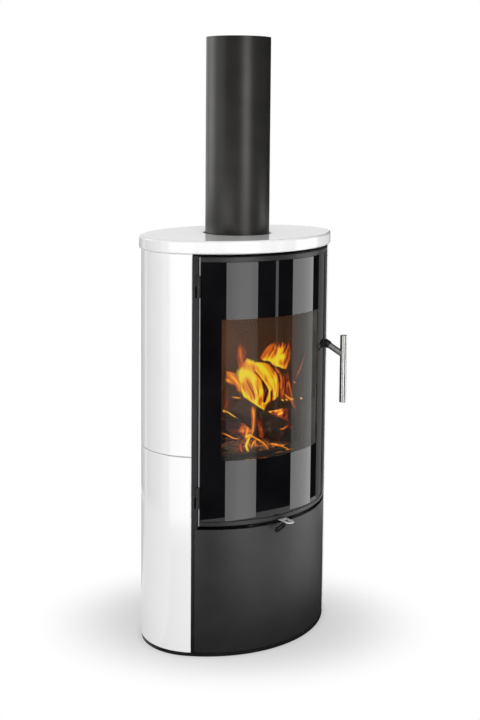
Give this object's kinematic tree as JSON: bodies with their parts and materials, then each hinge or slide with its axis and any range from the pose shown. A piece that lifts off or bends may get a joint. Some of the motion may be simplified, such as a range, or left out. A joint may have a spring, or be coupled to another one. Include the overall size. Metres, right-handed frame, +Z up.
{
  "type": "tiled wood stove",
  "caption": "Oval wood stove with glazed side tiles, a curved glass fire door on side hinges with a bar handle, an air lever and a top flue pipe.",
  "frame": {"origin": "centre of the oval on the underside of the base plate, on the floor", "axes": "+Z up along the flue, the fire door faces -Y, +X to the right of someone facing the door"},
  "size_m": [0.5098, 0.4044, 1.433],
  "materials": {
    "white_glaze": "glossy white glaze",
    "black_enamel": "satin black heat-proof paint",
    "grey_paint": "satin dark grey heat-proof paint",
    "flue_paint": "satin grey flue paint",
    "stainless": "brushed stainless steel",
    "sheet_steel": "galvanised sheet steel",
    "furnace_steel": "sooted black steel plate",
    "clear_glass": "curved ceramic glass with a black printed border",
    "seal_rope": "graphite-coated glass fibre rope",
    "fire_brick": "pressed vermiculite and fireclay",
    "cast_iron": "raw cast iron",
    "firewood": "charred split logs"
  },
  "bodies": {
    "stove": {"tile_left_lower": "white_glaze", "tile_left_upper": "white_glaze", "tile_right_lower": "white_glaze", "tile_right_upper": "white_glaze", "top_plate": "white_glaze", "base_plate": "black_enamel", "left_post": "black_enamel", "right_post": "black_enamel", "post_knuckles": "black_enamel", "rear_panel": "black_enamel", "plinth_panel": "grey_paint", "flue_pipe": "flue_paint", "hinge_pins": "stainless", "left_shield": "sheet_steel", "right_shield": "sheet_steel", "top_deck": "sheet_steel", "mid_deck": "sheet_steel", "panel_clips": "sheet_steel", "air_box": "sheet_steel", "air_duct": "sheet_steel", "levelling_screws": "sheet_steel", "ash_pan": "sheet_steel", "latch_keeper": "sheet_steel", "firebox_shell": "furnace_steel", "firebox_floor": "furnace_steel", "firebox_top": "furnace_steel", "flue_collar": "furnace_steel", "hearth_plate": "furnace_steel", "upper_baffle": "furnace_steel", "baffle_supports": "furnace_steel", "log_guard": "furnace_steel", "lining_back": "fire_brick", "lining_left": "fire_brick", "lining_right": "fire_brick", "hearth_bricks": "fire_brick", "baffle_plate": "fire_brick", "grate": "cast_iron", "fire_logs": "firewood"},
    "fire_door": {"door_frame": "black_enamel", "door_glass": "clear_glass", "glass_gasket": "seal_rope", "door_seal": "seal_rope", "door_knuckles": "black_enamel", "handle_boss": "black_enamel"},
    "door_handle": {"latch_shaft": "stainless", "latch_tongue": "stainless", "handle_collar": "black_enamel", "handle_arm": "stainless", "handle_grip": "stainless"},
    "air_control": {"air_lever": "black_enamel", "air_lever_ring": "black_enamel", "air_lever_tab": "stainless", "air_pivot": "sheet_steel", "air_damper": "sheet_steel"}
  },
  "joints": [
    {"name": "fire_door_hinge", "type": "hinge", "parent": "stove", "child": "fire_door", "pos_m": [-0.19379, -0.1081, 0.622], "axis": [0, 0, -1], "range_deg": [0, 110]},
    {"name": "handle_turn", "type": "hinge", "parent": "fire_door", "child": "door_handle", "pos_m": [0.18433, -0.11618, 0.697], "axis": [0.6334, -0.7738, 0], "range_deg": [0, 60]},
    {"name": "air_lever_swing", "type": "hinge", "parent": "stove", "child": "air_control", "pos_m": [0, -0.07, 0.308], "axis": [0, 0, 1], "range_deg": [-15, 15]}
  ]
}
